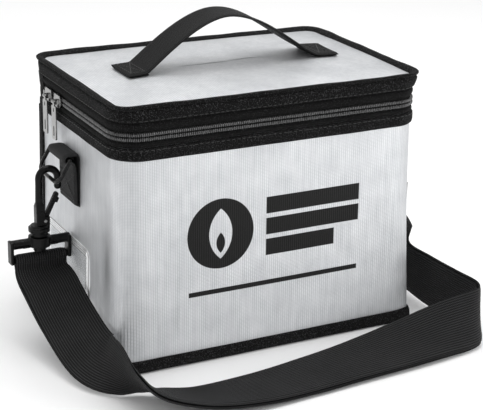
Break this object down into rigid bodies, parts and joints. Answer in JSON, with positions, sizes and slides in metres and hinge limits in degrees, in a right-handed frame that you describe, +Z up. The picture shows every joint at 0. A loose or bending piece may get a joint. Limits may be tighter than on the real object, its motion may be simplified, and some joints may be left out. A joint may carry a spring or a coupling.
{
  "type": "lipo battery storage bag",
  "caption": "Box-shaped silver fabric storage bag with a zip lid, webbing handle, clear side pocket, rings and a shoulder strap on snap hooks.",
  "frame": {"origin": "middle of the underside of the bag", "axes": "+X to the bag's right along its width, -Y out of its front, +Z up"},
  "size_m": [0.2998, 0.2232, 0.208],
  "materials": {
    "silver_fabric": "aluminised glass-fibre cloth with a soft metallic sheen",
    "stiff_board": "matte board",
    "felt": "pressed felt",
    "lining": "grey coated cloth",
    "webbing_tape": "brushed black tape",
    "zip_tape": "fine black twill",
    "zip_coil": "satin nylon coil",
    "bright_metal": "bright nickel plate",
    "pocket_edge": "welded glossy edge",
    "clear_film": "clear flexible film",
    "webbing": "ribbed black webbing",
    "ring_metal": "gloss black enamel",
    "black_plastic": "moulded black, satin gloss"
  },
  "bodies": {
    "root": {"base_panel": "silver_fabric", "base_board": "stiff_board", "body_shell": "silver_fabric", "body_foam": "felt", "body_lining": "lining", "bottom_binding": "webbing_tape", "body_band": "webbing_tape", "corner_bindings": "webbing_tape", "lower_zip_tape": "zip_tape", "lower_zip_coil": "zip_coil", "zip_stops": "bright_metal", "hinge_tape_lower": "webbing_tape", "pocket_border": "pocket_edge", "pocket_window": "clear_film", "ring_tab_left": "webbing", "ring_tab_right": "webbing", "shoulder_strap": "webbing"},
    "lid": {"lid_panel": "silver_fabric", "lid_foam": "felt", "lid_lining": "lining", "lid_binding": "webbing_tape", "upper_zip_tape": "zip_tape", "upper_zip_coil": "zip_coil", "hinge_tape_upper": "webbing_tape", "handle": "webbing", "handle_patches": "webbing"},
    "slider_front": {"slider_front": "bright_metal"},
    "slider_rear": {"slider_rear": "bright_metal"},
    "pull_front": {"pull_front": "bright_metal"},
    "pull_rear": {"pull_rear": "bright_metal"},
    "clip_left": {"ring_left": "ring_metal", "strap_base_left": "black_plastic", "strap_end_left": "webbing"},
    "clip_right": {"ring_right": "ring_metal", "strap_base_right": "black_plastic", "strap_end_right": "webbing"},
    "hook_left": {"hook_left": "black_plastic", "gate_pin_left": "bright_metal"},
    "hook_right": {"hook_right": "black_plastic", "gate_pin_right": "bright_metal"},
    "gate_left": {"gate_left": "black_plastic"},
    "gate_right": {"gate_right": "black_plastic"}
  },
  "joints": [
    {"name": "lid_hinge", "type": "hinge", "parent": "root", "child": "lid", "pos_m": [0, 0.0725, 0.153], "axis": [-1, 0, 0], "range_deg": [0, 180]},
    {"name": "slider_front_slide", "type": "slide", "parent": "root", "child": "slider_front", "axis": [0, -1, 0], "range_m": [0, 0.07]},
    {"name": "slider_rear_slide", "type": "slide", "parent": "root", "child": "slider_rear", "axis": [0, 1, 0], "range_m": [0, 0.005]},
    {"name": "pull_front_hinge", "type": "hinge", "parent": "slider_front", "child": "pull_front", "pos_m": [-0.1113, 0.022, 0.1525], "axis": [0, 1, 0], "range_deg": [0, 110]},
    {"name": "pull_rear_hinge", "type": "hinge", "parent": "slider_rear", "child": "pull_rear", "pos_m": [-0.1113, 0.038, 0.1525], "axis": [0, 1, 0], "range_deg": [0, 110]},
    {"name": "clip_left_swing", "type": "hinge", "parent": "root", "child": "clip_left", "pos_m": [-0.1142, 0.005, 0.1232], "axis": [0, 1, 0], "range_deg": [0, 35]},
    {"name": "clip_right_swing", "type": "hinge", "parent": "root", "child": "clip_right", "pos_m": [0.1142, 0.005, 0.1232], "axis": [0, -1, 0], "range_deg": [0, 35]},
    {"name": "hook_left_swivel", "type": "hinge", "parent": "clip_left", "child": "hook_left", "pos_m": [-0.1295, 0.005, 0.075], "axis": [0, 0, 1], "range_deg": [-18, 18]},
    {"name": "hook_right_swivel", "type": "hinge", "parent": "clip_right", "child": "hook_right", "pos_m": [0.1295, 0.005, 0.075], "axis": [0, 0, 1], "range_deg": [-18, 18]},
    {"name": "gate_left_hinge", "type": "hinge", "parent": "hook_left", "child": "gate_left", "pos_m": [-0.1259, 0.005, 0.0802], "axis": [0, -1, 0], "range_deg": [0, 16], "stiffness_Nm_per_rad": 0.01, "springref_deg": -11.46},
    {"name": "gate_right_hinge", "type": "hinge", "parent": "hook_right", "child": "gate_right", "pos_m": [0.1259, 0.005, 0.0802], "axis": [0, 1, 0], "range_deg": [0, 16], "stiffness_Nm_per_rad": 0.01, "springref_deg": -11.46}
  ]
}
